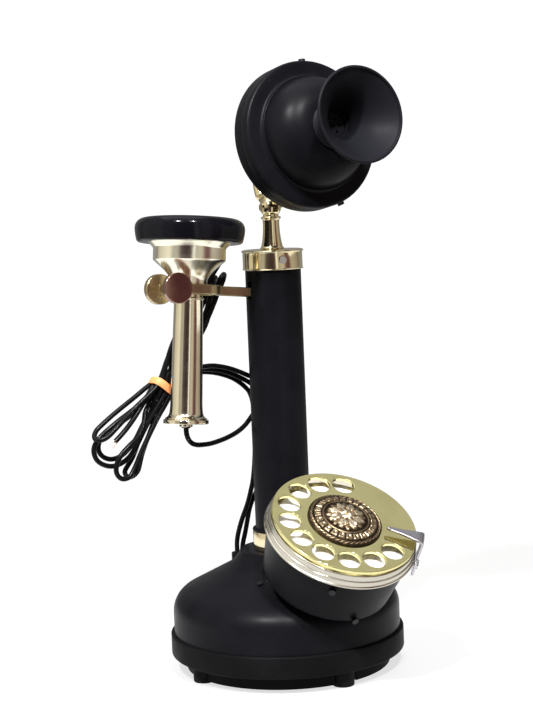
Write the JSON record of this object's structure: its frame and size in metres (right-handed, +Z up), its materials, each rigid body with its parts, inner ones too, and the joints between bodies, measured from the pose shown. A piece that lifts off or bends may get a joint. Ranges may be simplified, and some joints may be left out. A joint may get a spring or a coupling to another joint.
{
  "type": "rotary telephone",
  "caption": "Candlestick desk telephone with a tilted rotary dial on a domed base, a receiver hung on a forked hook, a tilting transmitter and a tied hank of line cord.",
  "frame": {"origin": "on the table under the centre of the column, at the middle of the base; the bottom cover's face is 1.5 mm above it", "axes": "+Z up along the column, -Y towards the user whom the dial and the mouthpiece face, -X towards the hung receiver"},
  "size_m": [0.16, 0.1525, 0.3116],
  "materials": {
    "black_paint": "satin",
    "rim_paint": "satin",
    "cover_plastic": "matt",
    "foot_rubber": "matt",
    "gloss_black": "gloss",
    "mouth_plastic": "satin",
    "brass": "polished",
    "pale_brass": "polished",
    "wheel_brass": "polished",
    "hook_brass": "satin",
    "antique_bronze": "aged",
    "bezel_silver": "polished",
    "steel": "satin",
    "dark_steel": "blackened",
    "stop_steel": "satin",
    "plate_white": "satin",
    "dull_aluminium": "satin",
    "board_green": "satin",
    "terminal_ivory": "satin",
    "brown_fibre": "matt",
    "cord_black": "satin",
    "band_orange": "matt"
  },
  "bodies": {
    "stand": {"base_rim": "rim_paint", "base_shell": "black_paint", "bottom_cover": "cover_plastic", "rubber_feet": "foot_rubber", "foot_screws": "steel", "cover_screws": "steel", "circuit_board": "board_green", "board_screws": "steel", "sounder": "cover_plastic", "terminal_block": "terminal_ivory", "cord_gland": "cover_plastic", "column_tube": "black_paint", "lower_collar": "brass", "column_nut": "steel", "top_collar": "brass", "collar_screw": "steel", "swivel_post": "brass", "post_nut": "steel", "tilt_pin": "brass", "hook_pin": "steel", "hook_spring": "steel", "hook_switch": "brown_fibre", "dial_housing": "black_paint", "housing_screws": "dark_steel", "dial_bezel": "bezel_silver", "number_plate": "plate_white", "finger_stop": "stop_steel", "stop_screw": "steel", "dial_frame": "steel", "dial_bush": "brass", "return_spring": "dark_steel", "pulse_contacts": "brown_fibre", "governor_cup": "steel", "receiver_cord": "cord_black", "line_cord": "cord_black", "line_cord_loop": "cord_black", "line_cord_hank": "cord_black", "hank_band": "band_orange", "line_cord_end": "cord_black"},
    "hook": {"hook_fork": "hook_brass"},
    "receiver": {"receiver_tube": "pale_brass", "receiver_cup": "pale_brass", "ear_cap": "gloss_black", "earphone": "dull_aluminium", "receiver_tail": "pale_brass", "receiver_cord_relief": "foot_rubber"},
    "transmitter": {"transmitter_back": "black_paint", "transmitter_face": "black_paint", "mouthpiece": "mouth_plastic", "mouth_grille": "mouth_plastic", "microphone": "dull_aluminium", "case_screws": "dark_steel", "tilt_arm": "brass", "arm_screws": "steel"},
    "dial_wheel": {"dial_shaft": "steel", "finger_wheel": "wheel_brass", "medallion": "antique_bronze", "main_gear": "brass", "pulse_cam": "terminal_ivory"},
    "governor": {"governor_rotor": "brass"}
  },
  "joints": [
    {"name": "receiver_lift", "type": "slide", "parent": "stand", "child": "receiver", "axis": [0.1043, 0.061, 0.9927], "range_m": [0, 0.025]},
    {"name": "hook_pivot", "type": "hinge", "parent": "stand", "child": "hook", "pos_m": [0, 0, 0.195], "axis": [0, 1, 0], "range_deg": [0, 8]},
    {"name": "transmitter_tilt", "type": "hinge", "parent": "stand", "child": "transmitter", "pos_m": [0, 0, 0.2394], "axis": [1, 0, 0], "range_deg": [-20, 20]},
    {"name": "dial_turn", "type": "hinge", "parent": "stand", "child": "dial_wheel", "pos_m": [0, -0.0605, 0.0851], "axis": [0, -0.5255, 0.8508], "range_deg": [-325, 0], "stiffness_Nm_per_rad": 0.002, "springref_deg": 114.59},
    {"name": "governor_spin", "type": "hinge", "parent": "stand", "child": "governor", "pos_m": [0.0186, -0.0605, 0.0851], "axis": [0, -0.5255, 0.8508], "range_deg": [0, 2000]}
  ],
  "couplings": [
    {"joint": "hook_pivot", "follows": "receiver_lift", "rad_per_m": 5.5851},
    {"joint": "governor_spin", "follows": "dial_turn", "ratio": -6}
  ]
}
